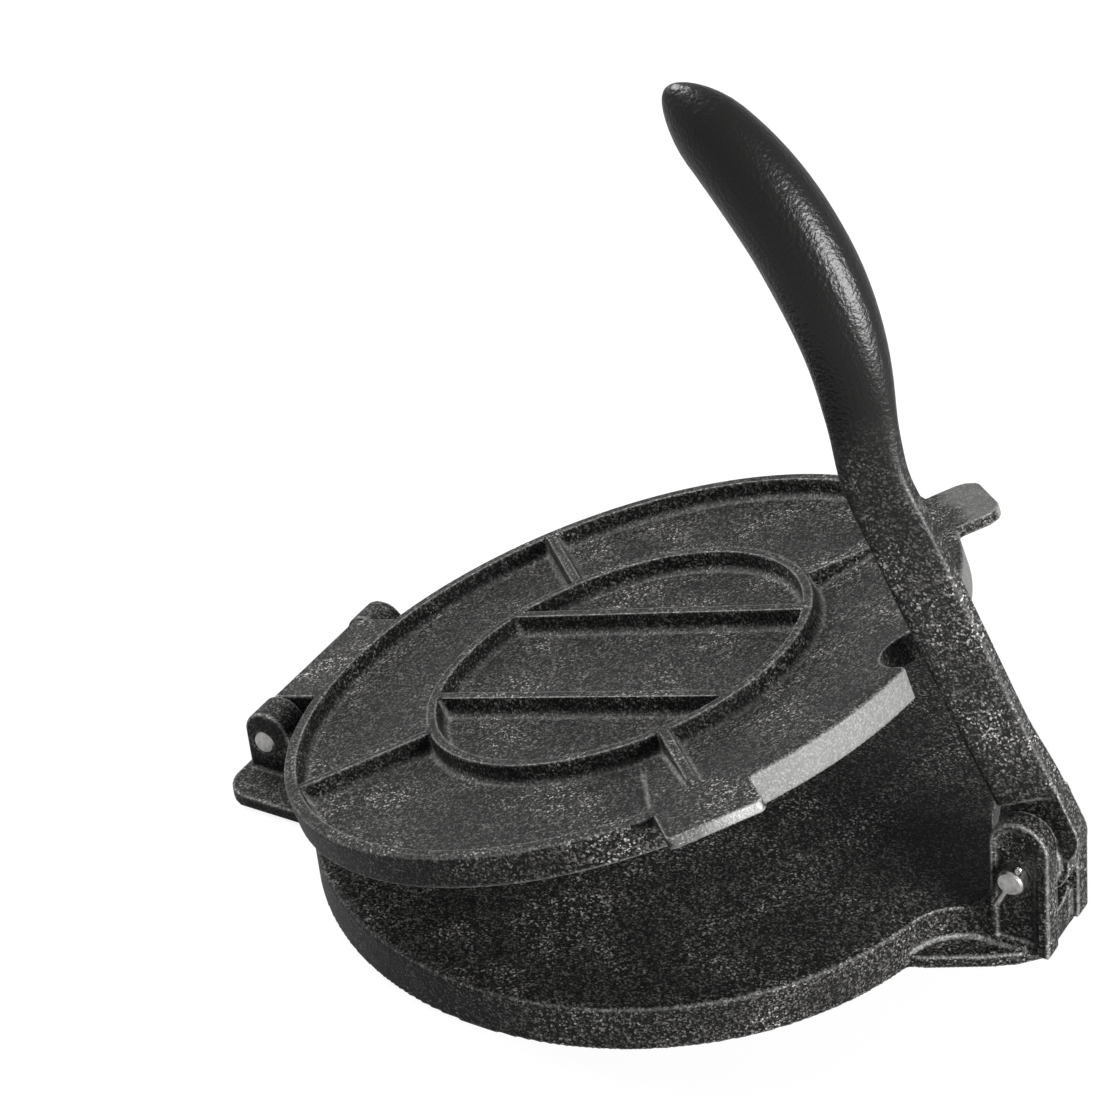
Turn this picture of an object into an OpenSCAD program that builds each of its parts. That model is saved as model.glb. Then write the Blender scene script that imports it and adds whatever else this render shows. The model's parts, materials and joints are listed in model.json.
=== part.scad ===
// Cast-iron tortilla press, part-open, with its lever standing up. Millimetres, +Z up.
// The origin is the centre of the base on the table; +X runs to the lever, -X to the hinge.

/* [Lower casting] */
// Radius of the platen and its skirt
base_r = 127; // [100:0.5:150]
// Height of the platen's top face
base_h = 18; // [14:0.5:24]
// Thickness of the platen
base_web = 8; // [5:0.5:10]
// Thickness of the skirt wall
skirt_t = 6; // [4:0.5:9]
// Radius of the hub under the platen
hub_r = 12; // [8:0.5:20]
// Radius of the stiffening ring under the platen
under_ring_r = 70; // [40:1:95]
// Width of the stiffening ribs under the platen
under_rib_w = 5; // [3:0.5:8]
// Height of the ribs' edge above the table
under_rib_z = 1.5; // [0.5:0.1:4]

/* [Hinge] */
// Distance of the hinge axis behind the centre
hinge_x = 148.2; // [138:0.1:170]
// Gap between the two platens when closed
plate_gap = 0.5; // [0.2:0.1:2]
// Radius of the hinge pin
hinge_pin_r = 4.75; // [3:0.05:6]
// Radius of the knuckle round the hinge pin
knuckle_r = 9; // [7.5:0.1:11]
// Width of the upper plate's knuckle block
knuckle_w = 56; // [40:0.5:70]
// Side gap between the knuckle block and each ear
knuckle_gap = 0.4; // [0.2:0.05:1]
// Thickness of each hinge ear
hinge_ear_t = 13.3; // [8:0.1:18]
// Height of the hinge ears above the table
hinge_ear_h = 32.4; // [30:0.1:42]
// Distance from the hinge axis to the ears' rear edge
hinge_ear_back = 7.8; // [7.5:0.1:12]
// Radius of the ears' round top
hinge_ear_round = 10; // [9:0.1:12]
// Distance from the hinge axis to the rear foot's edge
rear_foot_back = 10.6; // [9:0.1:20]
// Half width of the rear foot
rear_foot_w = 59; // [48:0.5:70]
// Thickness of the rear foot
rear_foot_t = 5.5; // [3:0.5:8]
// Corner radius of the rear foot
rear_foot_round = 12; // [4:0.5:16]

/* [Upper casting] */
// Radius of the upper plate
plate_r = 130; // [103:0.5:152]
// Height of the upper plate's rim
plate_h = 12.5; // [9:0.5:18]
// Thickness of the upper plate's web
plate_web = 5; // [3:0.5:8]
// Width of the rim
rim_w = 5; // [3:0.5:10]
// Outer radius of the ring rib
ring_rib_r = 75.3; // [50:0.1:95]
// Crest width of the ribs
rib_crest = 3.8; // [2:0.1:6]
// Widening of each rib side from crest to foot
rib_draft = 1.1; // [0.3:0.1:2]
// Radius of the sweep at the ribs' feet
rib_foot = 2; // [1:0.1:3]
// Distance of the chord ribs from the centre line
chord_y = 28.4; // [15:0.1:45]
// Angle of the radial ribs from the lever line
radial_a = 45; // [30:1:60]
// Half angle of the sloping lip below the lever
lip_a = 53; // [20:1:70]
// Radius at which the sloping lip meets the rim's height
lip_r = 122; // [105:1:125]
// Width of each side tab
tab_w = 34; // [20:0.5:45]
// Reach of each side tab past the rim
tab_out = 18; // [10:0.5:30]
// Thickness of each side tab
tab_t = 4.5; // [3:0.5:8]
// Radius of the lever notch
notch_r = 13.5; // [12:0.1:18]
// Distance of the notch centre inside the rim
notch_in = 3; // [0:0.1:8]
// Angle at which the upper plate stands open
open_angle = 17; // [0:0.5:30]

/* [Clevis] */
// Distance of the lever pivot in front of the centre
pivot_x = 153.5; // [148:0.1:175]
// Height of the lever pivot
pivot_z = 36.3; // [33:0.1:45]
// Radius of the lever pin
lever_pin_r = 5; // [3:0.05:6]
// Overhang of the lever pin past each ear
lever_pin_out = 4; // [3.5:0.1:8]
// Thickness of each clevis ear
ear_t = 8.5; // [5:0.1:11]
// Width of the slot between the ears
slot_w = 17; // [12:0.1:24]
// Depth of the pocket in each ear's outer face
ear_pocket = 1.4; // [0.5:0.1:2.5]
// Distance from the pivot to the ears' front face
ear_front = 12.7; // [11:0.1:16]
// Distance from the pivot to the ears' rear edge
ear_back = 9.4; // [9:0.1:14]
// Height of the near ear's round above the pivot
ear_up = 12.2; // [0:0.1:26]
// Height of the far ear's round above the pivot
far_ear_up = 1; // [0:0.1:26]
// Width of the band in front of the ears' pockets
ear_band = 4.5; // [3:0.1:6]
// Width of the edge left behind the ears' pockets
ear_edge = 1.5; // [0.8:0.1:2.5]
// Height of the slot floor between the ears
slot_floor = 14; // [8:0.5:16]
// Corner radius at the slot's bottom
slot_round = 8; // [1:0.5:8]
// Radius of the sweep from the skirt into the ears
neck_r = 22; // [12:0.5:30]
// Radius of the web behind each ear
gusset_r = 13; // [6:0.5:13]
// Thickness of the front foot
front_foot_t = 5; // [3:0.5:8]
// Half width of the front foot beside the pivot
front_foot_w = 24; // [20:0.5:34]
// Setback of the end wall between the ears
end_back = 3.2; // [1:0.1:5]
// Height of the ears' lower end above the table
ear_z = 3.5; // [2:0.1:6]

/* [Lever] */
// Lean of the lever arm from upright
arm_lean = 24.6; // [10:0.1:35]
// Side gap between the lever's boss and each ear
boss_gap = 0.3; // [0.1:0.05:1]
// Radius of the lever's boss
boss_r = 11.5; // [9:0.1:13]
// Radius of the lever's hub
lever_hub_r = 15; // [11:0.1:16]
// Thickness of the lever's tongue
tongue_t = 8.4; // [6:0.1:12]
// Offset of the arm's middle from the pivot
arm_off = 9.4; // [0:0.05:14]
// Offset of the grip's line from the pivot
grip_off = 6.85; // [0:0.05:10]
// Length of the straight arm from the pivot
arm_len = 142; // [90:1:180]
// Width of the arm seen from the side
arm_w = 22.4; // [16:0.1:30]
// Extra width of the arm's foot at its outer edge
heel_out = 1.8; // [0:0.1:4]
// Mean thickness of the arm across the press
arm_t = 12.9; // [10:0.1:13]
// Taper of the arm's thickness towards its outer edge
arm_taper = 0.5; // [0:0.01:0.6]
// Taper at the arm's foot
foot_taper = 0.29; // [0:0.01:0.3]
// Bend radius of the neck
bend_r = 48; // [30:1:90]
// Lean of the lever's grip at its foot
grip_lean = 8; // [0:0.5:20]
// Straight length between neck and grip
grip_run = 24; // [10:0.5:40]
// Bend radius of the grip
grip_r = 143; // [90:1:250]
// Turn of the grip over its length
grip_turn = 40.3; // [10:0.1:60]
// Width of the grip seen from the side
grip_w = 32.6; // [24:0.1:40]
// Thickness of the grip across the press
grip_t = 27; // [18:0.1:32]
// Length of the grip's rounded end
tip_len = 22; // [12:0.5:30]
// Squareness of the arm's section
arm_square = 6; // [2:0.1:8]

/* [Pins] */
// Running clearance between each pin and its holes
pin_fit = 0.05; // [0.02:0.01:0.09]
// Edge break on the pins' ends
pin_break = 0.8; // [0.2:0.1:1.5]
// Radius of the split pins' closed shank
split_r = 1.5; // [1:0.05:2]
// Wire radius of the split pins' legs and eyes
split_wire = 0.95; // [0.6:0.05:1.2]
// Ring radius of the split pins' eyes
eye_r = 2.5; // [1.8:0.1:4]
// Length of the split pins' bent legs
leg_len = 10.5; // [4:0.5:14]
// Angle of the front split pin from upright
split_front_a = 26; // [-90:1:90]
// Angle of the rear split pin from upright
split_rear_a = 45; // [-90:1:90]

/* [Hidden] */
eps = 0.01;
axis_z = base_h + plate_gap;
skirt_in = base_r - skirt_t;
under_z = base_h - base_web;
block_len = hinge_x - plate_r + rim_w - 0.7;
chord_half = sqrt(pow(ring_rib_r - 3, 2) - chord_y * chord_y);
ear_in = knuckle_w / 2 + knuckle_gap;
ear_out = ear_in + hinge_ear_t;
slot_half = slot_w / 2;
boss_half = slot_half - boss_gap;
clevis_half = slot_half + ear_t;
ear_top_r = (ear_front + ear_back) / 2;
ear_mid = pivot_x + (ear_front - ear_back) / 2;
// a sweep's circle dips a hair into the faces it joins, so that they meet in a clean edge
neck_dip = 0.04;
neck_y = clevis_half + neck_r - neck_dip;
neck_x = sqrt(pow(base_r + neck_r - neck_dip, 2) - neck_y * neck_y);
neck_k = base_r / (base_r + neck_r);
pin_half = clevis_half + lever_pin_out;
split_y = clevis_half + 0.3 + split_r;
neck_turn = arm_lean - grip_lean;
s_neck = arm_len;
s_run = s_neck + bend_r * neck_turn * PI / 180;
s_grip = s_run + grip_run;
s_cap = s_grip + grip_r * grip_turn * PI / 180;
s_foot = lever_hub_r + 8;
end_x = pivot_x + ear_front - end_back;

// ---------- shared forms ----------
// a profile drawn in the XZ plane and given a width along Y
module across(w) rotate([90, 0, 0]) linear_extrude(height = w, center = true) children();

// points of a rounded edge whose square corner is at (x, z), for a profile that is turned
function edge_round(x, z, r, n = 4) =
    [for (i = [0 : n]) [x - r + r * cos(90 * i / n), z - r + r * sin(90 * i / n)]];

// points of the hollow sweep from the upper plate's web up a drafted wall whose foot is at x;
// side is -1 with the web on the left of the wall, 1 with it on the right
function foot_sweep(x, side, dip, n = 4) =
    [for (i = [0 : n]) let (a = 90 * i / n, h = rib_foot * (1 - cos(a)) - dip)
        [x + side * (rib_foot * (1 - sin(a)) - rib_draft * h / (plate_h - plate_web)), plate_web + h]];
function back(v) = [for (i = [len(v) - 1 : -1 : 0]) v[i]];

// cross-section of a cast rib between its two walls' feet x0 and x1, on the upper plate's web
module rib_section(x0, x1, dip, n) polygon(concat([[x0 - rib_foot, plate_web - 1]],
    foot_sweep(x0, -1, dip, n), [[x0 + rib_draft, plate_h], [x1 - rib_draft, plate_h]],
    back(foot_sweep(x1, 1, dip, n)), [[x1 + rib_foot, plate_web - 1]]));

// a straight cast rib along +X with drafted sides
module rib(len) rotate([90, 0, 90]) linear_extrude(height = len)
    rib_section(-rib_crest / 2 - rib_draft, rib_crest / 2 + rib_draft, neck_dip, 3);

// ---------- lower casting ----------
module base_disc() rotate_extrude($fn = 180)
    polygon(concat([[0, 0], [base_r, 0]], edge_round(base_r, base_h, 1.5), [[0, base_h]]));

// plan of the skirt's sweep into the clevis
module neck_plan() difference() {
    polygon([[base_r * 0.7, -neck_y * neck_k], [neck_x * neck_k, -neck_y * neck_k], [neck_x, -neck_y],
             [neck_x, neck_y], [neck_x * neck_k, neck_y * neck_k], [base_r * 0.7, neck_y * neck_k]]);
    for (s = [-1, 1]) translate([neck_x, s * neck_y]) circle(r = neck_r, $fn = 96);
}

// side view of a clevis ear whose round is up above the pivot, the web behind it included
module ear_side(up) {
    translate([ear_mid, pivot_z + up]) circle(r = ear_top_r, $fn = 72);
    translate([pivot_x - ear_back, 0]) square([ear_front + ear_back, pivot_z + up]);
    // the web behind the ear, a hollow quarter round
    translate([pivot_x - ear_back - gusset_r, base_h]) polygon(concat([[0, -1], [gusset_r + 1, -1],
        [gusset_r + 1, gusset_r]], [for (i = [0 : 10]) gusset_r * [cos(9 * i), 1 - sin(9 * i)]]));
}

// the sunk field of an ear's outer face
module ear_field(up) {
    translate([ear_mid - (ear_band - ear_edge) / 2, pivot_z + up])
        circle(r = ear_top_r - (ear_band + ear_edge) / 2, $fn = 72);
    translate([pivot_x - ear_back + ear_edge, front_foot_t + 2])
        square([ear_front + ear_back - ear_band - ear_edge, pivot_z + up - front_foot_t - 2]);
}

// the foot on both sides of the clevis, from the skirt to the end wall
module front_foot() linear_extrude(height = front_foot_t) {
    w = front_foot_w;
    side = [[base_r - skirt_t, w + 13], [base_r, w + 10.8], [pivot_x - 7.4, w + 1.6],
            [pivot_x + 2.7, w - 4.7], [pivot_x + 7.2, w - 8.2], [end_x, w - 11.5]];
    polygon(concat(side, [for (p = back(side)) [p[0], -p[1]]]));
}

// what the ears' lower ends are cut back to, seen from above
module ear_cut() polygon([[end_x - 8, 30], [end_x - 8, 20.2], [end_x + 0.2, 12], [end_x + 0.2, -12],
    [end_x - 8, -20.2], [end_x - 8, -30], [end_x + 20, -30], [end_x + 20, 30]]);

// side view of a hinge ear: a round-topped tab over the pin, and its root in the skirt
module hinge_ear_side() {
    x0 = -hinge_x - hinge_ear_back;
    translate([x0 + hinge_ear_round, hinge_ear_h - hinge_ear_round])
        circle(r = hinge_ear_round, $fn = 96);
    translate([x0, 0]) square([2 * hinge_ear_round, hinge_ear_h - hinge_ear_round]);
    translate([x0, 0]) square([-skirt_in + 6 - x0, base_h]);
}

module rear_foot() linear_extrude(height = rear_foot_t) {
    x0 = -hinge_x - rear_foot_back;
    translate([x0 + rear_foot_round, -rear_foot_w])
        square([-skirt_in + 12 - x0 - rear_foot_round, 2 * rear_foot_w]);
    translate([x0, -rear_foot_w + rear_foot_round])
        square([rear_foot_round + 1, 2 * (rear_foot_w - rear_foot_round)]);
    for (s = [-1, 1]) translate([x0 + rear_foot_round, s * (rear_foot_w - rear_foot_round)])
        circle(r = rear_foot_round, $fn = 64);
}

module clevis() difference() {
    union() {
        translate([0, -clevis_half / 2, 0]) across(clevis_half) ear_side(ear_up);
        translate([0, clevis_half / 2 - eps, 0]) across(clevis_half) ear_side(far_ear_up);
        linear_extrude(height = base_h) neck_plan();
        front_foot();
    }
    // the slot between the ears, with a rounded bottom
    translate([pivot_x - ear_back - gusset_r - 1, 0, 0]) rotate([90, 0, 90])
        linear_extrude(height = ear_front + ear_back + gusset_r + 20) {
            translate([-slot_half, base_h]) square([2 * slot_half, 200]);
        }
    translate([neck_x + 0.5, 0, 0]) rotate([90, 0, 90])
        linear_extrude(height = ear_front + ear_back + 20) {
            translate([-slot_half, slot_floor + slot_round]) square([2 * slot_half, 60]);
            translate([-slot_half + slot_round, slot_floor])
                square([2 * (slot_half - slot_round), 30]);
            for (s = [-1, 1]) translate([s * (slot_half - slot_round), slot_floor + slot_round])
                circle(r = slot_round, $fn = 32);
        }
    translate([0, -clevis_half - 5 + ear_pocket, 0]) across(10) ear_field(ear_up);
    translate([0, clevis_half + 5 - ear_pocket, 0]) across(10) ear_field(far_ear_up);
    // the end wall stands back between the ears, and the ears end above the table
    translate([end_x, 0.2 - slot_half, -1])
        cube([20, 2 * slot_half - 0.4, slot_floor + slot_round + 4]);
    translate([0, 0, -1]) linear_extrude(height = ear_z + 1) ear_cut();
}

module base_plate() color("#2b2a2a") {
    difference() {
        union() {
            base_disc();
            clevis();
            for (s = [-1, 1]) translate([0, s * (ear_in + ear_out) / 2, 0])
                across(hinge_ear_t) hinge_ear_side();
            rear_foot();
        }
        translate([0, 0, -1]) cylinder(r = skirt_in, h = under_z + 1, $fn = 180);
        translate([-hinge_x, 0, axis_z]) rotate([90, 0, 0])
            cylinder(r = hinge_pin_r + pin_fit, h = 3 * ear_out, center = true, $fn = 64);
        translate([pivot_x, 0, pivot_z]) rotate([90, 0, 0])
            cylinder(r = lever_pin_r + pin_fit, h = 3 * clevis_half, center = true, $fn = 64);
    }
    cylinder(r = hub_r, h = base_h - 1, $fn = 64);
    difference() {
        union() {
            translate([0, 0, under_rib_z]) cylinder(r = under_ring_r, h = under_z, $fn = 120);
        }
        cylinder(r = under_ring_r - under_rib_w, h = under_z + eps, $fn = 120);
        translate([0, 0, under_z + 1]) cylinder(r = under_ring_r + 5, h = base_h, $fn = 120);
    }
    for (a = [30 : 60 : 330]) rotate([0, 0, a])
        translate([hub_r - 2, -under_rib_w / 2, under_rib_z])
            cube([skirt_in - hub_r + 4, under_rib_w, under_z - under_rib_z + 1]);
}

// ---------- upper casting ----------
module plate_disc() rotate_extrude($fn = 180) {
    polygon(concat([[0, 0], [plate_r, 0]], edge_round(plate_r, plate_h, 1.2), [[plate_r - rim_w, plate_h]],
                   back(foot_sweep(plate_r - rim_w - rib_draft, -1, 0)), [[0, plate_web]]));
    // ring rib
    rib_section(ring_rib_r - rib_crest - 2 * rib_draft, ring_rib_r, 2 * neck_dip, 4);
}

// the lip that slopes up to the rim below the lever
module plate_lip() rotate([0, 0, -lip_a]) rotate_extrude(angle = 2 * lip_a, $fn = 180)
    polygon([[ring_rib_r - 1, plate_web - 1], [plate_r - 2, plate_web - 1], [plate_r - 2, plate_h - 0.05],
             [lip_r, plate_h - 0.05], [ring_rib_r - 1, plate_web - 0.05]]);

// one side tab; r_out rounds its outer corners
module plate_tab(r_out) translate([0, 0, plate_h - tab_t]) linear_extrude(height = tab_t) {
    translate([plate_r - 6, -tab_w / 2]) square([tab_out + 6 - r_out, tab_w]);
    translate([plate_r - 6, -tab_w / 2 + r_out]) square([tab_out + 6, tab_w - 2 * r_out]);
    for (s = [-1, 1]) translate([plate_r + tab_out - r_out, s * (tab_w / 2 - r_out)])
        circle(r = r_out, $fn = 48);
}

module knuckle_block() across(knuckle_w) {
    circle(r = knuckle_r, $fn = 72);
    // the block ends inside the rim
    square([block_len, plate_h - 2]);
    translate([2, 0]) square([block_len - 2, plate_h]);
    translate([2, plate_h - 2]) circle(r = 2, $fn = 32);
}

module upper_plate() color("#242424")
    translate([-hinge_x, 0, axis_z]) rotate([0, -open_angle, 0]) difference() {
        union() {
            translate([hinge_x, 0, 0]) {
                plate_disc();
                plate_lip();
                for (a = [-radial_a, radial_a, 180 - radial_a, 180 + radial_a])
                    rotate([0, 0, a]) translate([ring_rib_r - 3, 0, 0])
                        rib(plate_r - ring_rib_r - rim_w + 4);
                for (s = [-1, 1]) translate([-chord_half, s * chord_y, 0]) rib(2 * chord_half);
                rotate([0, 0, -radial_a]) plate_tab(2.5);
                rotate([0, 0, radial_a + 0.6]) plate_tab(8);
            }
            knuckle_block();
        }
        translate([hinge_x + plate_r - notch_in, 0, -1]) cylinder(r = notch_r, h = 30, $fn = 72);
        rotate([90, 0, 0]) cylinder(r = hinge_pin_r + pin_fit, h = 2 * knuckle_w, center = true, $fn = 64);
    }

// ---------- lever ----------
// heading of the lever's centre line, as lean from the straight arm, at distance s
function turn(s) = s < s_neck ? 0
    : s < s_run ? -neck_turn * (s - s_neck) / (s_run - s_neck)
    : s < s_grip ? -neck_turn
    : -neck_turn + grip_turn * (s - s_grip) / (s_cap - s_grip);
function arc_at(p, r, a0, a1) = p + r * [cos(a1) - cos(a0), sin(a1) - sin(a0)];
p_neck = [grip_off, s_neck];
p_run = p_neck + bend_r * [1 - cos(neck_turn), sin(neck_turn)];
p_grip = p_run + grip_run * [sin(neck_turn), cos(neck_turn)];
function spine(s) = s < s_neck ? [grip_off, s]
    : s < s_run ? p_neck + bend_r * [1 - cos(turn(s)), -sin(turn(s))]
    : s < s_grip ? p_run + (s - s_run) * [sin(neck_turn), cos(neck_turn)]
    : arc_at(p_grip, grip_r, -neck_turn, turn(s));
function ease(t) = let (u = max(0, min(1, t))) u * u * (3 - 2 * u);
// swell of the grip: 0 on the arm, 1 at its thickest, less towards the tip
function swell(s) = ease((s - s_neck + 6) / (s_cap - s_neck - 42))
    - 0.4 * pow(max(0, (s - s_cap + 36) / 36), 2);
function cap(s) = s < s_cap ? 1 : sqrt(max(0, 1 - pow((s - s_cap) / tip_len, 2)));
function heel(s) = heel_out * (1 - ease((s - s_foot) / 30));
function half_w(s) = cap(s) * (arm_w + (grip_w - arm_w) * swell(s) + heel(s)) / 2;
function half_t(s) = cap(s) * (arm_t + (grip_t - arm_t) * swell(s)) / 2;
function square_n(s) = 2 + (arm_square - 2) * (1 - ease((s - s_neck + 20) / 50));
// how far the section's middle lies outside the spine, and how it thins towards its outer edge
function shift(s) = (arm_off - grip_off) * (1 - ease((s - s_neck + 20) / 60)) + heel(s) / 2;
function taper(s) = (foot_taper + (arm_taper - foot_taper) * ease((s - s_foot) / 35))
    * (1 - ease((s - s_neck + 10) / 70));
function pw(x, n) = (x < 0 ? -1 : 1) * pow(abs(x), 2 / n);
function ring(s, n) = let (p = spine(s), a = turn(s), k = square_n(s))
    [for (i = [0 : n - 1]) let (f = 360 * i / n, c = pw(cos(f), k), u = half_w(s) * c + shift(s),
        v = half_t(s) * pw(sin(f), k) * (1 - taper(s) * c)) [p[0] + u * cos(a), v, p[1] + u * sin(a)]];

module lever_arm(n = 32, m = 56, c = 8) {
    at = concat([for (i = [0 : m]) s_foot + (s_cap - s_foot) * i / m],
                [for (i = [1 : c]) s_cap + tip_len * sin(90 * i / (c + 0.35))]);
    k = len(at);
    pts = [for (s = at) each ring(s, n)];
    side = [for (j = [0 : k - 2]) for (i = [0 : n - 1]) let (a = j * n + i, b = j * n + (i + 1) % n)
            each [[a, a + n, b], [b, a + n, b + n]]];
    polyhedron(pts, concat([[for (i = [0 : n - 1]) i]], side,
                           [[for (i = [n - 1 : -1 : 0]) (k - 1) * n + i]]), convexity = 6);
}

// side view of the tongue: hub, heel and the root of the arm
module tongue_side() {
    out = arm_off + arm_w / 2 + heel_out;
    heel_r = 12.2;
    circle(r = lever_hub_r, $fn = 96);
    translate([out - heel_r, lever_hub_r / 2]) circle(r = heel_r, $fn = 96);
    polygon([[-lever_hub_r, 0], [arm_off - arm_w / 2 + 2, s_foot + 2], [out - 5, s_foot + 3],
             [out, s_foot - 0.5], [out, lever_hub_r / 2], [out - heel_r, lever_hub_r / 2 - heel_r + 1],
             [0, 0]]);
}

module lever() color("#262525")
    translate([pivot_x, 0, pivot_z]) rotate([0, -arm_lean, 0]) difference() {
        union() {
            across(tongue_t) tongue_side();
            across(2 * boss_half) circle(r = boss_r, $fn = 96);
            lever_arm();
        }
        rotate([90, 0, 0]) cylinder(r = lever_pin_r + pin_fit, h = 60, center = true, $fn = 64);
    }

// ---------- pins ----------
module plain_pin(r, half) rotate([90, 0, 0]) rotate_extrude($fn = 64)
    polygon([[0, -half], [r - pin_break, -half], [r, -half + pin_break], [r, half - pin_break],
             [r - pin_break, half], [0, half]]);

module hinge_pin() color("#a9a8a6")
    translate([-hinge_x, 0, axis_z]) plain_pin(hinge_pin_r, ear_out);

module lever_pin() color("#a9a8a6") translate([pivot_x, 0, pivot_z]) difference() {
    plain_pin(lever_pin_r, pin_half);
    translate([0, -split_y, 0]) rotate([0, split_front_a, 0])
        cylinder(r = split_r + pin_fit, h = 20, center = true, $fn = 40);
    translate([0, split_y, 0]) rotate([0, split_rear_a, 0])
        cylinder(r = split_r + pin_fit, h = 20, center = true, $fn = 40);
}

// a split pin along Z: eye above, two legs a little apart below
module split_pin() {
    cylinder(r = split_r, h = 2 * lever_pin_r + 1.2, center = true, $fn = 40);
    translate([0, 0, lever_pin_r + eye_r + 0.6]) rotate([90, 0, 0])
        rotate_extrude($fn = 48) translate([eye_r, 0]) circle(r = split_wire, $fn = 24);
    for (s = [-1, 1]) translate([s * (split_r - split_wire), 0, -lever_pin_r])
        rotate([0, -s * 2, 0]) mirror([0, 0, 1])
            cylinder(r = split_wire, h = leg_len - (s + 1), $fn = 24);
}

module split_pin_front() color("#c2c1be")
    translate([pivot_x, -split_y, pivot_z]) rotate([0, split_front_a, 0]) split_pin();

module split_pin_rear() color("#c2c1be")
    translate([pivot_x, split_y, pivot_z]) rotate([0, split_rear_a, 0]) split_pin();

base_plate();
upper_plate();
lever();
hinge_pin();
lever_pin();
split_pin_front();
split_pin_rear();
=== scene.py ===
"""A cast-iron tortilla press, laid out as an add-on: one operator for each casting, the pins and the stage."""
import json
from math import atan2, copysign, cos, degrees, hypot, pi, radians, sin

import bpy
import bmesh
import numpy as np
from bpy.props import FloatProperty, FloatVectorProperty, IntProperty, PointerProperty
from mathutils import Matrix, Vector, kdtree


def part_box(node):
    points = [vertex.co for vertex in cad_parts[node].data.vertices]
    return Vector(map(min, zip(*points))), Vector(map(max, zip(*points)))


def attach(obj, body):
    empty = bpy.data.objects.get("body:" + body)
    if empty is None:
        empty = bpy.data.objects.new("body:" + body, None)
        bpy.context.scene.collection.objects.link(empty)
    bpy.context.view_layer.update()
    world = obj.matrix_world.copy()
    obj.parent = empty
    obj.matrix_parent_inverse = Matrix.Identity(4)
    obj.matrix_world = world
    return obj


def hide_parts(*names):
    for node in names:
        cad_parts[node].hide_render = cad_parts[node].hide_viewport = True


bl_info = {
    "name": "Tortilla press",
    "version": (1, 0, 0),
    "blender": (4, 5, 0),
    "location": "View3D > Sidebar > Press",
    "description": "Builds a cast-iron tortilla press on its packed frame",
    "category": "Object",
}

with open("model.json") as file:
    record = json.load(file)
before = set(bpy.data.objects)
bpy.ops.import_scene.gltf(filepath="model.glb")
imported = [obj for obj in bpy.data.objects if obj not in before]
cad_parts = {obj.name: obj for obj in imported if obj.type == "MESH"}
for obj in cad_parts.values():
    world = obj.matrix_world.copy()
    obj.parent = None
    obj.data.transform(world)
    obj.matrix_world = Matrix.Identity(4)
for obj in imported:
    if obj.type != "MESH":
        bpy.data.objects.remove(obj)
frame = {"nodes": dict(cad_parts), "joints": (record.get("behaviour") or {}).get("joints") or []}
MM = 0.001
JOINTS = {j["name"]: j for j in frame["joints"]}
HINGE = Vector(JOINTS["plate_hinge"]["pos_m"])
PIVOT = Vector(JOINTS["lever_swing"]["pos_m"])
OPEN_BY = -JOINTS["plate_hinge"]["range_deg"][0]
RIM_R, TAB_A = 130, 45          # the upper casting's rim in mm, and its tabs' angle from the lever
TAB_OUT, RIM_SKIN = 4, 0.8      # mm past the rim where a tab begins, and mm of wall that counts as rim
DRESSED = (155 * MM, 205 * MM)  # height over which the lever's grit gives way to its dressed grip
EYE_SWING = radians(-58)        # where a split pin's eye leaves its legs
EYE_STEPS = 40
EYE_NECK, EYE_RISE, LEG_BEND = 5.2 * MM, 6.6 * MM, 5 * MM
LEG_PART = 0.06 * MM            # half the slit between a split pin's legs
LEGS = (11.5 * MM, 13.5 * MM)   # the two tips, below the pin's middle
LEANS = {"front": 26, "rear": 45}
LAMP_SIDE = 0.6
LEVER_LAMP, LEVER_AIM = (1.17, -0.26, 0.38), (0, 0, 0.2)
HINGE_LAMP, HINGE_AIM = (-0.78, 0.12, 1.02), (0, 0, 0.08)
CAMERA = (0.5376, -0.8279, 0.7731)
CAMERA_TURN, CAMERA_RISE, CAMERA_ROLL = radians(34.004), radians(33.348), radians(-6.091)
CAMERA_SHIFT = (-0.02217, -0.00776)


def rgb(code):
    """An sRGB hex colour as linear red, green, blue and alpha."""
    part = [int(code[i:i + 2], 16) / 255 for i in (1, 3, 5)]
    return [c / 12.92 if c <= 0.04045 else ((c + 0.055) / 1.055) ** 2.4 for c in part] + [1.0]


def add(tree, kind, inputs=None, **settings):
    """Adds a node with its settings; inputs are values or sockets to link."""
    n = tree.nodes.new(kind)
    for key, value in settings.items():
        setattr(n, key, value)
    for key, value in (inputs or {}).items():
        if isinstance(value, bpy.types.NodeSocket):
            tree.links.new(value, n.inputs[key])
        else:
            n.inputs[key].default_value = value
    return n


def ramp(n, stops):
    """Sets the stops of a colour ramp from (place, grey or colour) pairs."""
    el = n.color_ramp.elements
    while len(el) < len(stops):
        el.new(0.5)
    for e, (place, value) in zip(el, stops):
        e.position = place
        e.color = value if hasattr(value, "__len__") else (value, value, value, 1)
    return n


# ---------------------------------------------------------------- sizes and finishes
class PressCastings(bpy.types.PropertyGroup):
    grid: FloatProperty(name="Casting grid", description="Grid of the two plate castings' skins",
                        default=0.72 * MM, subtype="DISTANCE")
    lever_grid: FloatProperty(name="Lever grid", description="Grid of the lever's skin",
                              default=0.6 * MM, subtype="DISTANCE")
    rounding: IntProperty(name="Edge rounding", description="Passes that soften the cast edges", default=2)
    most: IntProperty(name="Triangles", description="Most triangles in one casting", default=185000)
    wear_low: FloatProperty(name="Wear start", description="Convexity at which edge wear starts", default=0.07)
    wear_high: FloatProperty(name="Wear full", description="Convexity of a fully worn edge", default=0.18)


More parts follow.
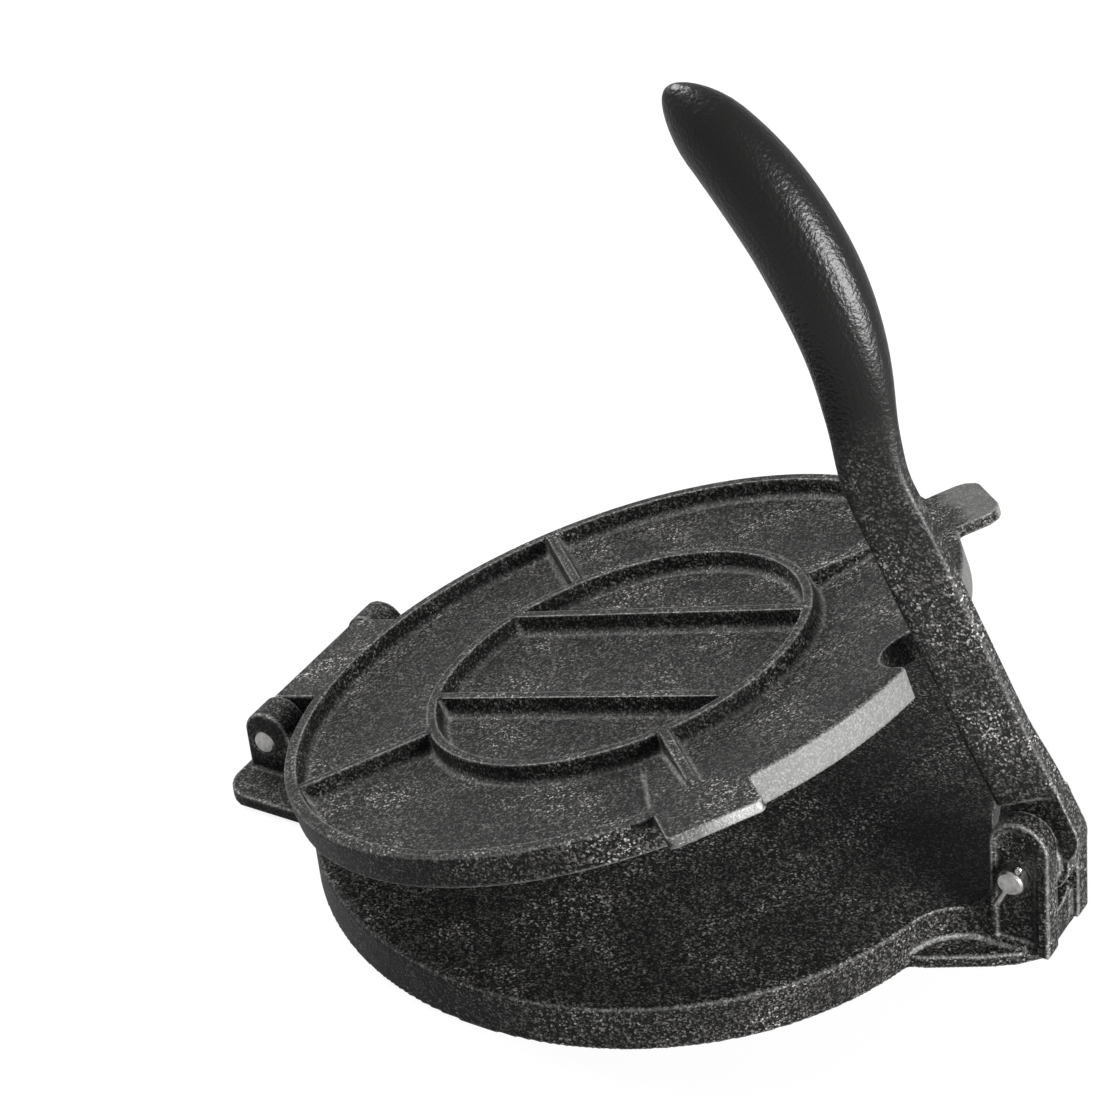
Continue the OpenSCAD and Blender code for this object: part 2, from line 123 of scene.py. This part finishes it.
class PressIron(bpy.types.PropertyGroup):
    skin: FloatVectorProperty(name="Skin", description="Seasoned black iron between the grains", size=4,
                              subtype="COLOR", default=rgb("#121211"))
    grain: FloatVectorProperty(name="Grain", description="Common grains of the sand skin", size=4,
                               subtype="COLOR", default=rgb("#3c3b3a"))
    # painted glint: the few brightest grains are painted near white to stand in for glints of light off the sand
    # skin
    glint: FloatVectorProperty(name="Glint", description="Few grains that are rubbed bright", size=4,
                               subtype="COLOR", default=rgb("#c8c6c3"))
    # the worn grey is also the colour of the painted highlight lines in the fillets and of the painted pale light
    # on the upper casting's rim and tabs
    worn: FloatVectorProperty(name="Worn iron", description="Bare iron on rubbed edges and ground faces",
                              size=4, subtype="COLOR", default=rgb("#a3a3a1"))
    size: FloatProperty(name="Grain size", description="Size of the sand skin's grains", default=0.66 * MM,
                        subtype="DISTANCE")
    peel: FloatProperty(name="Orange peel", description="Size of the bumps on the grip", default=1.3 * MM,
                        subtype="DISTANCE")


class PressSteel(bpy.types.PropertyGroup):
    plate: FloatVectorProperty(name="Zinc", description="Zinc-plated steel", size=4, subtype="COLOR",
                               default=rgb("#cfcecb"))
    roughness: FloatProperty(name="Roughness", description="Roughness of the plating", default=0.3)
    wire: FloatProperty(name="Wire", description="Radius of the split pins' closed legs",
                        default=1.3 * MM, subtype="DISTANCE")
    eye: FloatProperty(name="Eye", description="Inner radius of the split pins' eyes", default=1.15 * MM,
                       subtype="DISTANCE")


class PressStage(bpy.types.PropertyGroup):
    floor: FloatVectorProperty(name="Floor", description="Pale floor", size=4, subtype="COLOR",
                               default=rgb("#6c6c6c"))
    glow: FloatProperty(name="Floor glow", description="White that the floor adds for the eye", default=0.87)
    gloss: FloatProperty(name="Mirrored white", description="White of the surroundings in a gloss", default=0.5)
    side: FloatProperty(name="Lever lamp", description="Soft lamp beside the lever", default=32.0, unit="POWER")
    left: FloatProperty(name="Hinge lamp", description="Soft lamp above the hinge", default=19.0, unit="POWER")
    sky: FloatProperty(name="Room light", description="Level of the room's light from behind", default=0.4)
    lens: FloatProperty(name="Lens", description="Focal length in mm", default=108.2)


# ---------------------------------------------------------------- materials
def new_material(name):
    m = bpy.data.materials.new(name)
    m.use_nodes = True
    m.node_tree.nodes.clear()
    return m, m.node_tree


def grey_mix(t, factor, low, high):
    return add(t, "ShaderNodeMix", {"Factor": factor, "A": low, "B": high}, data_type="RGBA").outputs["Result"]


def seasoned_sand_cast_iron(name, gloss=0.13, smooth_from=None):
    """Grey iron cast in sand and seasoned with baked oil: near black and gritty, each grain of the sand skin
    with its own grey and a few painted near white as glints, rubbed iron showing on sharp edges and on the
    grinder-marked tab ends, painted highlight lines in the fillets, and painted pale light along the upper
    casting's rim between its tabs and on the far tab's face.
    smooth_from: height over which the grit gives way to the orange-peel skin of a hand-dressed grip."""
    iron = bpy.context.scene.press_iron
    m, t = new_material(name)
    where = add(t, "ShaderNodeTexCoord").outputs["Object"]
    # the oil skin is uneven over some 25 mm
    cloud = add(t, "ShaderNodeTexNoise", {"Vector": where, "Scale": 1 / (25 * MM), "Detail": 3.0})
    # sand of 0.2 to 0.4 mm, drawn a little coarser so that it shows
    grains = add(t, "ShaderNodeTexVoronoi", {"Vector": where, "Scale": 1 / iron.size})
    own = add(t, "ShaderNodeSeparateColor", {"Color": grains.outputs["Color"]}).outputs["Red"]
    clear = add(t, "ShaderNodeMapRange", {"Value": cloud.outputs["Fac"], "From Min": 0.35, "From Max": 0.7,
                                          "To Min": 0.8, "To Max": 1.0})
    # each grain gets its own grey; the top of the ramp is the painted glint
    tone = ramp(add(t, "ShaderNodeValToRGB", {"Fac": add(t, "ShaderNodeMath", {
        0: own, 1: clear.outputs["Result"]}, operation="MULTIPLY").outputs[0]}),
        [(0.0, [c * 0.2 for c in iron.skin[:3]] + [1]), (0.4, list(iron.skin)), (0.66, list(iron.grain)),
         (0.86, [c * 3 for c in iron.grain[:3]] + [1]), (1.0, list(iron.glint))])
    grit = add(t, "ShaderNodeTexNoise", {"Vector": where, "Scale": 1 / (1.3 * iron.size), "Detail": 3.0,
                                         "Roughness": 0.65})
    wave = add(t, "ShaderNodeTexNoise", {"Vector": where, "Scale": 1 / (9 * MM), "Detail": 2.0})
    # painted highlight: the concave fillets at the ribs' feet get the worn grey, broken up grain by grain, as a
    # painted highlight line
    foot = add(t, "ShaderNodeAttribute", attribute_name="fillet").outputs["Fac"]
    patch = add(t, "ShaderNodeMapRange", {"Value": own, "To Min": 0.3, "To Max": 1.0}).outputs["Result"]
    fillet_highlight = add(t, "ShaderNodeMath", {0: foot, 1: patch}, operation="MULTIPLY").outputs[0]
    colour = grey_mix(t, fillet_highlight, tone.outputs["Color"], list(iron.worn))
    rough = 0.46
    low = add(t, "ShaderNodeBump", {"Height": wave.outputs["Fac"], "Strength": 0.3, "Distance": 0.8 * MM})
    normal = add(t, "ShaderNodeBump", {"Height": grit.outputs["Fac"], "Strength": 1.0,
                                       "Distance": 0.5 * MM, "Normal": low.outputs["Normal"]})
    if smooth_from:
        place = add(t, "ShaderNodeSeparateXYZ", {"Vector": where}).outputs["Z"]
        dressed = add(t, "ShaderNodeMapRange", {"Value": place, "From Min": smooth_from[0],
                                                "From Max": smooth_from[1]}).outputs["Result"]
        colour = grey_mix(t, dressed, colour, [c * 0.7 for c in iron.skin[:3]] + [1])
        peel = add(t, "ShaderNodeTexNoise", {"Vector": where, "Scale": 1 / iron.peel, "Detail": 1.0})
        height = add(t, "ShaderNodeMix", {"Factor": dressed, "A": grit.outputs["Fac"], "B": peel.outputs["Fac"]})
        normal = add(t, "ShaderNodeBump", {"Height": height.outputs["Result"], "Strength": 0.75,
                                           "Distance": 0.35 * MM, "Normal": low.outputs["Normal"]})
        rough = add(t, "ShaderNodeMapRange", {"Value": dressed, "To Min": 0.46, "To Max": 0.33}).outputs["Result"]
    # rubbed edges break up grain by grain
    worn = add(t, "ShaderNodeAttribute", attribute_name="wear").outputs["Fac"]
    rubbed = add(t, "ShaderNodeMath", {0: worn, 1: add(t, "ShaderNodeMapRange", {
        "Value": own, "To Min": 0.35, "To Max": 1.15}).outputs["Result"]}, operation="MULTIPLY", use_clamp=True)
    # painted light: the pale band on the rim between the tabs, the tab ends' paleness growing towards the lever
    # and the far tab's pale face; the tab ends also carry real grinding
    bare_and_painted_light = add(t, "ShaderNodeAttribute", attribute_name="ground_and_painted_light").outputs["Fac"]
    # the grinder's marks run across the tabs' edges, about 1.3 mm apart
    turned = add(t, "ShaderNodeMapping", {"Vector": where, "Rotation": (0, radians(17), 0)})
    across = add(t, "ShaderNodeMapping", {"Vector": turned.outputs["Vector"], "Rotation": (0, 0, radians(45)),
                                          "Scale": (1, 1, 0.05)})
    marks = add(t, "ShaderNodeTexNoise", {"Vector": across.outputs["Vector"], "Scale": 1 / (1.3 * MM),
                                          "Detail": 2.0})
    scored = add(t, "ShaderNodeAttribute", attribute_name="scored").outputs["Fac"]
    spread = add(t, "ShaderNodeMix", {"Factor": scored, "A": own, "B": marks.outputs["Fac"]}).outputs["Result"]
    uneven = add(t, "ShaderNodeMapRange", {"Value": spread, "From Min": 0.3, "From Max": 0.7,
                                           "To Min": 0.86, "To Max": 1.0})
    # rubbed edges, plus the painted pale light of the rim and tabs, drawn as worn iron
    metal_and_painted_light = add(t, "ShaderNodeMath", {0: add(t, "ShaderNodeMath", {
        0: bare_and_painted_light, 1: uneven.outputs["Result"]}, operation="MULTIPLY").outputs[0], 1: rubbed.outputs[0]},
        operation="MAXIMUM").outputs[0]
    shader = add(t, "ShaderNodeBsdfPrincipled", {
        "Base Color": grey_mix(t, metal_and_painted_light, colour, list(iron.worn)), "Roughness": rough,
        "Metallic": add(t, "ShaderNodeMath", {0: metal_and_painted_light, 1: 0.6}, operation="MULTIPLY").outputs[0],
        "Specular IOR Level": gloss, "Normal": normal.outputs["Normal"]})
    add(t, "ShaderNodeOutputMaterial", {"Surface": shader.outputs["BSDF"]})
    return m


def zinc_plated_steel(name):
    """Drawn steel, zinc plated: silvery, with faint marks of handling that catch the light unevenly."""
    steel = bpy.context.scene.press_steel
    m, t = new_material(name)
    where = add(t, "ShaderNodeTexCoord").outputs["Object"]
    blotch = add(t, "ShaderNodeTexNoise", {"Vector": where, "Scale": 1 / (2.2 * MM), "Detail": 3.0})
    tint = add(t, "ShaderNodeMapRange", {"Value": blotch.outputs["Fac"], "From Min": 0.35, "From Max": 0.65})
    colour = grey_mix(t, tint.outputs["Result"], [c * 0.6 for c in steel.plate[:3]] + [1], list(steel.plate))
    rough = add(t, "ShaderNodeMapRange", {"Value": blotch.outputs["Fac"], "To Min": steel.roughness - 0.1,
                                          "To Max": steel.roughness + 0.12})
    marks = add(t, "ShaderNodeTexNoise", {"Vector": where, "Scale": 1 / (0.6 * MM), "Detail": 2.0})
    bump = add(t, "ShaderNodeBump", {"Height": marks.outputs["Fac"], "Strength": 0.4, "Distance": 0.08 * MM})
    shader = add(t, "ShaderNodeBsdfPrincipled", {
        "Base Color": colour, "Metallic": 1.0, "Roughness": rough.outputs["Result"],
        "Normal": bump.outputs["Normal"]})
    add(t, "ShaderNodeOutputMaterial", {"Surface": shader.outputs["BSDF"]})
    return m


# ---------------------------------------------------------------- cast skins
def evaluated_mesh(obj):
    graph = bpy.context.evaluated_depsgraph_get()
    return bpy.data.meshes.new_from_object(obj.evaluated_get(graph), depsgraph=graph)


def with_modifier(mesh, kind, **settings):
    """The mesh after one modifier."""
    obj = bpy.data.objects.new("work", mesh)
    bpy.context.scene.collection.objects.link(obj)
    mod = obj.modifiers.new(kind, kind)
    for key, value in settings.items():
        setattr(mod, key, value)
    done = evaluated_mesh(obj)
    bpy.data.objects.remove(obj)
    return done


def convexity(mesh):
    """How far each vertex stands out of its neighbours: above 0 on an outer edge, below 0 in a corner."""
    n = len(mesh.vertices)
    co = np.empty(n * 3)
    mesh.vertices.foreach_get("co", co)
    co = co.reshape(-1, 3)
    no = np.empty(n * 3)
    mesh.vertices.foreach_get("normal", no)
    no = no.reshape(-1, 3)
    e = np.empty(len(mesh.edges) * 2, np.int32)
    mesh.edges.foreach_get("vertices", e)
    e = e.reshape(-1, 2)
    d = co[e[:, 0]] - co[e[:, 1]]
    d /= np.maximum(np.linalg.norm(d, axis=1), 1e-9)[:, None]
    out = np.bincount(e[:, 0], (no[e[:, 0]] * d).sum(1), n) - np.bincount(e[:, 1], (no[e[:, 1]] * d).sum(1), n)
    count = np.maximum(np.bincount(e.ravel(), minlength=n), 1)
    value = out / count
    for _ in range(2):
        near = np.bincount(e[:, 0], value[e[:, 1]], n) + np.bincount(e[:, 1], value[e[:, 0]], n)
        value = 0.5 * value + 0.5 * near / count
    return co, value


def cast_skin(name, node, material, grid, level=Matrix.Identity(4), ground_and_painted_light=None):
    """A sand casting's skin: the solid's own form with every edge and corner softened.
    level turns the form so that its flat faces lie along the grid; ground_and_painted_light(place, normal) gives
    how pale a point of the levelled form is drawn, partly grinding and partly painted light, and how scored it
    is."""
    cast = bpy.context.scene.press_castings
    bm = bmesh.new()
    bm.from_mesh(frame["nodes"][node].data)
    bmesh.ops.remove_doubles(bm, verts=bm.verts, dist=1e-7)
    bm.transform(level)
    mesh = bpy.data.meshes.new(name)
    bm.to_mesh(mesh)
    bm.free()
    mesh = with_modifier(mesh, "REMESH", mode="VOXEL", voxel_size=grid, use_smooth_shade=True)
    mesh = with_modifier(mesh, "SMOOTH", factor=0.5, iterations=cast.rounding)
    co, value = convexity(mesh)
    # wear marks convex edges; fillet marks concave corners, where a painted highlight line is laid
    marks = {"wear": np.clip((value - cast.wear_low) / (cast.wear_high - cast.wear_low), 0, 1),
             "fillet": np.clip((-value - cast.wear_low / 3) / (cast.wear_high - cast.wear_low), 0, 1)}
    faces = 2 * len(mesh.polygons)
    if faces > cast.most:
        tree = kdtree.KDTree(len(co))
        for i, p in enumerate(co):
            tree.insert(p, i)
        tree.balance()
        mesh = with_modifier(mesh, "DECIMATE", ratio=cast.most / faces, use_collapse_triangulate=True)
        near = [tree.find(v.co)[1] for v in mesh.vertices]
        marks = {label: value[near] for label, value in marks.items()}
    # painted light and grinding on the upper casting's rim and tabs
    if ground_and_painted_light:
        marks["ground_and_painted_light"], marks["scored"] = np.array([ground_and_painted_light(v.co / MM, v.normal) for v in mesh.vertices]).T
    for label, value in marks.items():
        mesh.attributes.new(label, "FLOAT", "POINT").data.foreach_set("value", value.astype(np.float32))
    mesh.transform(level.inverted())
    mesh.polygons.foreach_set("use_smooth", [True] * len(mesh.polygons))
    mesh.materials.clear()
    mesh.materials.append(material)
    mesh.name = name
    obj = bpy.data.objects.new(name, mesh)
    bpy.context.scene.collection.objects.link(obj)
    return obj


def stands_for(obj, body, node):
    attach(obj, body)
    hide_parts(node)


class PRESS_OT_base_casting(bpy.types.Operator):
    """The base casting: platen, skirt, hinge ears, clevis and feet"""
    bl_idname = "press.base_casting"
    bl_label = "Base casting"

    def execute(self, context):
        iron = seasoned_sand_cast_iron("seasoned_iron_base")
        skin = cast_skin("base_casting", "base_plate", iron, context.scene.press_castings.grid)
        stands_for(skin, "base", "base_plate")
        return {"FINISHED"}


def clamp(value, low=0):
    return min(max(value, low), 1)


def fettled_and_painted_light(place, normal):
    """How pale and how scored the upper casting is drawn: the tabs' outer ends carry a grinder's marks, but their
    paleness, stronger towards the lever, the pale band along the rim between the two tabs and the pale far tab's
    face are painted light."""
    r, a = hypot(place.x, place.y), abs(degrees(atan2(place.y, place.x)))
    if r < RIM_R - RIM_SKIN or a > TAB_A + 9:
        return 0, 0
    tab = r > RIM_R + TAB_OUT
    out = radians(TAB_A) if tab else radians(a)
    facing = normal.x * cos(out) + copysign(normal.y, normal.y * place.y) * sin(out)
    # painted light: the far tab's upward face is drawn pale
    if tab and facing < 0.5 and normal.z > 0.7:
        return (0.3, 0) if place.y > 0 else (0, 0)
    # the tab ends are marked by the grinder; their paleness, fading away from the lever, is painted light
    if tab:
        return clamp((facing - 0.6) / 0.3) * clamp(1 - (a - TAB_A + 3) / 8, 0.25), 1
    # painted light: a pale band along the rim wall between the tabs
    return 0.5 * clamp((facing - 0.7) / 0.2) * (a < TAB_A + 2), 0


class PRESS_OT_plate_casting(bpy.types.Operator):
    """The ribbed upper casting with its tabs and knuckle"""
    bl_idname = "press.plate_casting"
    bl_label = "Upper casting"

    def execute(self, context):
        iron = seasoned_sand_cast_iron("seasoned_iron_plate")
        level = Matrix.Translation(HINGE) @ Matrix.Rotation(radians(OPEN_BY), 4, "Y") @ Matrix.Translation(-HINGE)
        skin = cast_skin("upper_casting", "upper_plate", iron, context.scene.press_castings.grid, level, fettled_and_painted_light)
        stands_for(skin, "plate", "upper_plate")
        return {"FINISHED"}


class PRESS_OT_lever_casting(bpy.types.Operator):
    """The lever casting: hub, arm, neck and grip"""
    bl_idname = "press.lever_casting"
    bl_label = "Lever casting"

    def execute(self, context):
        iron = seasoned_sand_cast_iron("seasoned_iron_lever", 0.34, DRESSED)
        skin = cast_skin("lever_casting", "lever", iron, context.scene.press_castings.lever_grid)
        stands_for(skin, "lever", "lever")
        return {"FINISHED"}


class PRESS_OT_pins(bpy.types.Operator):
    """The two plain pins, in plated steel"""
    bl_idname = "press.pins"
    bl_label = "Plain pins"

    def execute(self, context):
        steel = zinc_plated_steel("zinc_plated_pins")
        for name in ("hinge_pin", "lever_pin"):
            mesh = frame["nodes"][name].data
            mesh.materials.clear()
            mesh.materials.append(steel)
        return {"FINISHED"}


# ---------------------------------------------------------------- split pins
def wire_tree():
    """Geometry nodes that draw half-round wire along a flat path, its flat side on the path."""
    t = bpy.data.node_groups.new("half_round_wire", "GeometryNodeTree")
    face = t.interface
    face.new_socket("Path", in_out="INPUT", socket_type="NodeSocketGeometry")
    for label, kind, value in (("Wire radius", "NodeSocketFloat", 1.4 * MM), ("Sides", "NodeSocketInt", 12)):
        face.new_socket(label, in_out="INPUT", socket_type=kind).default_value = value
    face.new_socket("Material", in_out="INPUT", socket_type="NodeSocketMaterial")
    face.new_socket("Mesh", in_out="OUTPUT", socket_type="NodeSocketGeometry")
    given = add(t, "NodeGroupInput").outputs
    path = add(t, "GeometryNodeSetCurveNormal", {"Curve": given["Path"]}, mode="Z_UP")
    arc = add(t, "GeometryNodeCurveArc", {"Resolution": given["Sides"], "Radius": given["Wire radius"],
                                          "Start Angle": radians(-90), "Sweep Angle": radians(180)},
              mode="RADIUS")
    closed = add(t, "GeometryNodeSetSplineCyclic", {"Geometry": arc.outputs["Curve"], "Cyclic": True})
    swept = add(t, "GeometryNodeCurveToMesh", {"Curve": path.outputs["Curve"],
                                               "Profile Curve": closed.outputs["Geometry"], "Fill Caps": True})
    real = add(t, "GeometryNodeRealizeInstances", {"Geometry": swept.outputs["Mesh"]})
    done = add(t, "GeometryNodeSetMaterial", {"Geometry": real.outputs["Geometry"],
                                              "Material": given["Material"]})
    add(t, "NodeGroupOutput", {"Mesh": done.outputs["Geometry"]})
    return t


def split_pin(name, place, lean, tree, steel):
    """One split pin: from a leg's tip up through the pin, round the eye and down to the other tip."""
    own = bpy.context.scene.press_steel
    turn = [pi - EYE_SWING + (2 * EYE_SWING - pi) * i / EYE_STEPS for i in range(EYE_STEPS + 1)]
    eye = [(own.eye * cos(a), EYE_RISE + own.eye * sin(a)) for a in turn]
    points = [(-LEG_PART, y) for y in (-LEGS[0], -LEG_BEND, 0, EYE_NECK)] + eye + [
        (LEG_PART, y) for y in (EYE_NECK, 0, -LEG_BEND, -LEGS[1])]
    curve = bpy.data.curves.new(name, "CURVE")
    curve.dimensions = "3D"
    spline = curve.splines.new("POLY")
    spline.points.add(len(points) - 1)
    for p, (x, y) in zip(spline.points, points):
        p.co = (x, y, 0, 1)
    work = bpy.data.objects.new(name, curve)
    bpy.context.scene.collection.objects.link(work)
    mod = work.modifiers.new("wire", "NODES")
    mod.node_group = tree
    sockets = {s.name: s.identifier for s in tree.interface.items_tree if s.in_out == "INPUT"}
    mod[sockets["Wire radius"]] = own.wire
    mod[sockets["Sides"]] = 12
    mod[sockets["Material"]] = steel
    mesh = evaluated_mesh(work)
    bpy.data.objects.remove(work)
    mesh.transform(Matrix.Translation(place) @ Matrix.Rotation(radians(lean), 4, "Y")
                   @ Matrix.Rotation(radians(90), 4, "X"))
    bm = bmesh.new()
    bm.from_mesh(mesh)
    bmesh.ops.remove_doubles(bm, verts=bm.verts, dist=1e-6)
    bmesh.ops.recalc_face_normals(bm, faces=bm.faces)
    bm.to_mesh(mesh)
    bm.free()
    obj = bpy.data.objects.new(name, mesh)
    bpy.context.scene.collection.objects.link(obj)
    return obj


class PRESS_OT_split_pins(bpy.types.Operator):
    """The two split pins that keep the lever's pin in"""
    bl_idname = "press.split_pins"
    bl_label = "Split pins"

    def execute(self, context):
        steel = zinc_plated_steel("zinc_plated_wire")
        tree = wire_tree()
        for label, lean in LEANS.items():
            low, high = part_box("split_pin_" + label)
            middle = (PIVOT.x, (low[1] + high[1]) / 2, PIVOT.z)
            pin = split_pin("split_wire_" + label, middle, lean, tree, steel)
            stands_for(pin, "base", "split_pin_" + label)
        return {"FINISHED"}


# ---------------------------------------------------------------- stage
def soft_lamp(name, place, aim, power):
    """A square area lamp that looks at aim."""
    lamp = bpy.data.lights.new(name, "AREA")
    lamp.shape, lamp.size, lamp.size_y, lamp.energy = "RECTANGLE", LAMP_SIDE, LAMP_SIDE, power
    obj = bpy.data.objects.new(name, lamp)
    obj.location = place
    obj.rotation_mode = "QUATERNION"
    obj.rotation_quaternion = (Vector(aim) - Vector(place)).to_track_quat("-Z", "Y")
    bpy.context.scene.collection.objects.link(obj)


def seen_white(t, gloss):
    """1 for what the eye sees straight or through glass, gloss for what it sees in a gloss, and 0 for
    other light."""
    path = add(t, "ShaderNodeLightPath").outputs
    mirrored = add(t, "ShaderNodeMath", {0: path["Is Glossy Ray"], 1: gloss}, operation="MULTIPLY").outputs[0]
    either = add(t, "ShaderNodeMath", {0: path["Is Camera Ray"], 1: mirrored}, operation="MAXIMUM")
    return add(t, "ShaderNodeMath", {0: either.outputs[0], 1: path["Is Transmission Ray"]},
               operation="MAXIMUM").outputs[0]


class PRESS_OT_stage(bpy.types.Operator):
    """Floor, lamps, world and camera"""
    bl_idname = "press.stage"
    bl_label = "Stage"

    def execute(self, context):
        stage = context.scene.press_stage
        bm = bmesh.new()
        bmesh.ops.create_grid(bm, x_segments=1, y_segments=1, size=6)
        mesh = bpy.data.meshes.new("floor")
        bm.to_mesh(mesh)
        bm.free()
        floor = bpy.data.objects.new("floor", mesh)
        context.scene.collection.objects.link(floor)
        m, t = new_material("matt_paper")
        paper = add(t, "ShaderNodeBsdfDiffuse", {"Color": list(stage.floor)})
        # the lamps fade with distance, and the glow makes up for it
        away = add(t, "ShaderNodeVectorMath", {0: add(t, "ShaderNodeTexCoord").outputs["Object"]},
                   operation="LENGTH")
        level = add(t, "ShaderNodeMapRange", {"Value": away.outputs["Value"], "From Min": 0.5, "From Max": 2.5,
                                              "To Min": stage.glow, "To Max": 1.0})
        glow = add(t, "ShaderNodeEmission", {"Color": (1, 1, 1, 1), "Strength": add(
            t, "ShaderNodeMath", {0: seen_white(t, stage.gloss), 1: level.outputs["Result"]},
            operation="MULTIPLY").outputs[0]})
        both = add(t, "ShaderNodeAddShader", {0: paper.outputs[0], 1: glow.outputs[0]})
        add(t, "ShaderNodeOutputMaterial", {"Surface": both.outputs[0]})
        mesh.materials.append(m)

        world = bpy.data.worlds.new("studio")
        context.scene.world = world
        world.use_nodes = True
        t = world.node_tree
        t.nodes.clear()
        # the room is lighter behind the press than in front of it
        facing = add(t, "ShaderNodeVectorMath", {0: add(t, "ShaderNodeTexCoord").outputs["Generated"],
                                                 1: (-0.4, 0.85, 0.3)}, operation="DOT_PRODUCT")
        room = add(t, "ShaderNodeMapRange", {"Value": facing.outputs["Value"], "From Min": -0.2,
                                             "To Min": 0.03, "To Max": stage.sky})
        level = add(t, "ShaderNodeMix", {"Factor": seen_white(t, stage.gloss),
                                         "A": room.outputs["Result"], "B": 1.0})
        sky = add(t, "ShaderNodeBackground", {"Color": (1, 1, 1, 1), "Strength": level.outputs["Result"]})
        add(t, "ShaderNodeOutputWorld", {"Surface": sky.outputs[0]})

        soft_lamp("lever_lamp", LEVER_LAMP, LEVER_AIM, stage.side)
        soft_lamp("hinge_lamp", HINGE_LAMP, HINGE_AIM, stage.left)

        a, e, roll = CAMERA_TURN, CAMERA_RISE, CAMERA_ROLL
        back = Vector((sin(a) * cos(e), -cos(a) * cos(e), sin(e)))
        right = Vector((cos(a), sin(a), 0))
        up = back.cross(right)
        side, rise = right * cos(roll) + up * sin(roll), up * cos(roll) - right * sin(roll)
        data = bpy.data.cameras.new("camera")
        data.lens, data.sensor_width = stage.lens, 36
        data.shift_x, data.shift_y = CAMERA_SHIFT
        cam = bpy.data.objects.new("camera", data)
        turn = Matrix((side, rise, back)).transposed().to_4x4()
        cam.matrix_world = Matrix.Translation(CAMERA) @ turn
        context.scene.collection.objects.link(cam)
        context.scene.camera = cam
        context.scene.view_settings.view_transform = "Standard"
        return {"FINISHED"}


class PRESS_PT_panel(bpy.types.Panel):
    """Lists the press's pieces"""
    bl_label = "Tortilla press"
    bl_space_type = "VIEW_3D"
    bl_region_type = "UI"
    bl_category = "Press"

    def draw(self, context):
        for c in OPERATORS:
            self.layout.operator(c.bl_idname)


GROUPS = {"press_castings": PressCastings, "press_iron": PressIron, "press_steel": PressSteel,
          "press_stage": PressStage}
OPERATORS = (PRESS_OT_base_casting, PRESS_OT_plate_casting, PRESS_OT_lever_casting, PRESS_OT_pins,
             PRESS_OT_split_pins, PRESS_OT_stage)


def register():
    for c in (*GROUPS.values(), *OPERATORS, PRESS_PT_panel):
        bpy.utils.register_class(c)
    for name, group in GROUPS.items():
        setattr(bpy.types.Scene, name, PointerProperty(type=group))


def unregister():
    for name in GROUPS:
        delattr(bpy.types.Scene, name)
    for c in reversed((*GROUPS.values(), *OPERATORS, PRESS_PT_panel)):
        bpy.utils.unregister_class(c)


def main():
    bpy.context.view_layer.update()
    register()
    bpy.ops.press.base_casting()
    bpy.ops.press.plate_casting()
    bpy.ops.press.lever_casting()
    bpy.ops.press.pins()
    bpy.ops.press.split_pins()
    bpy.ops.press.stage()
    bpy.context.view_layer.update()


if __name__ == "__main__":
    main()
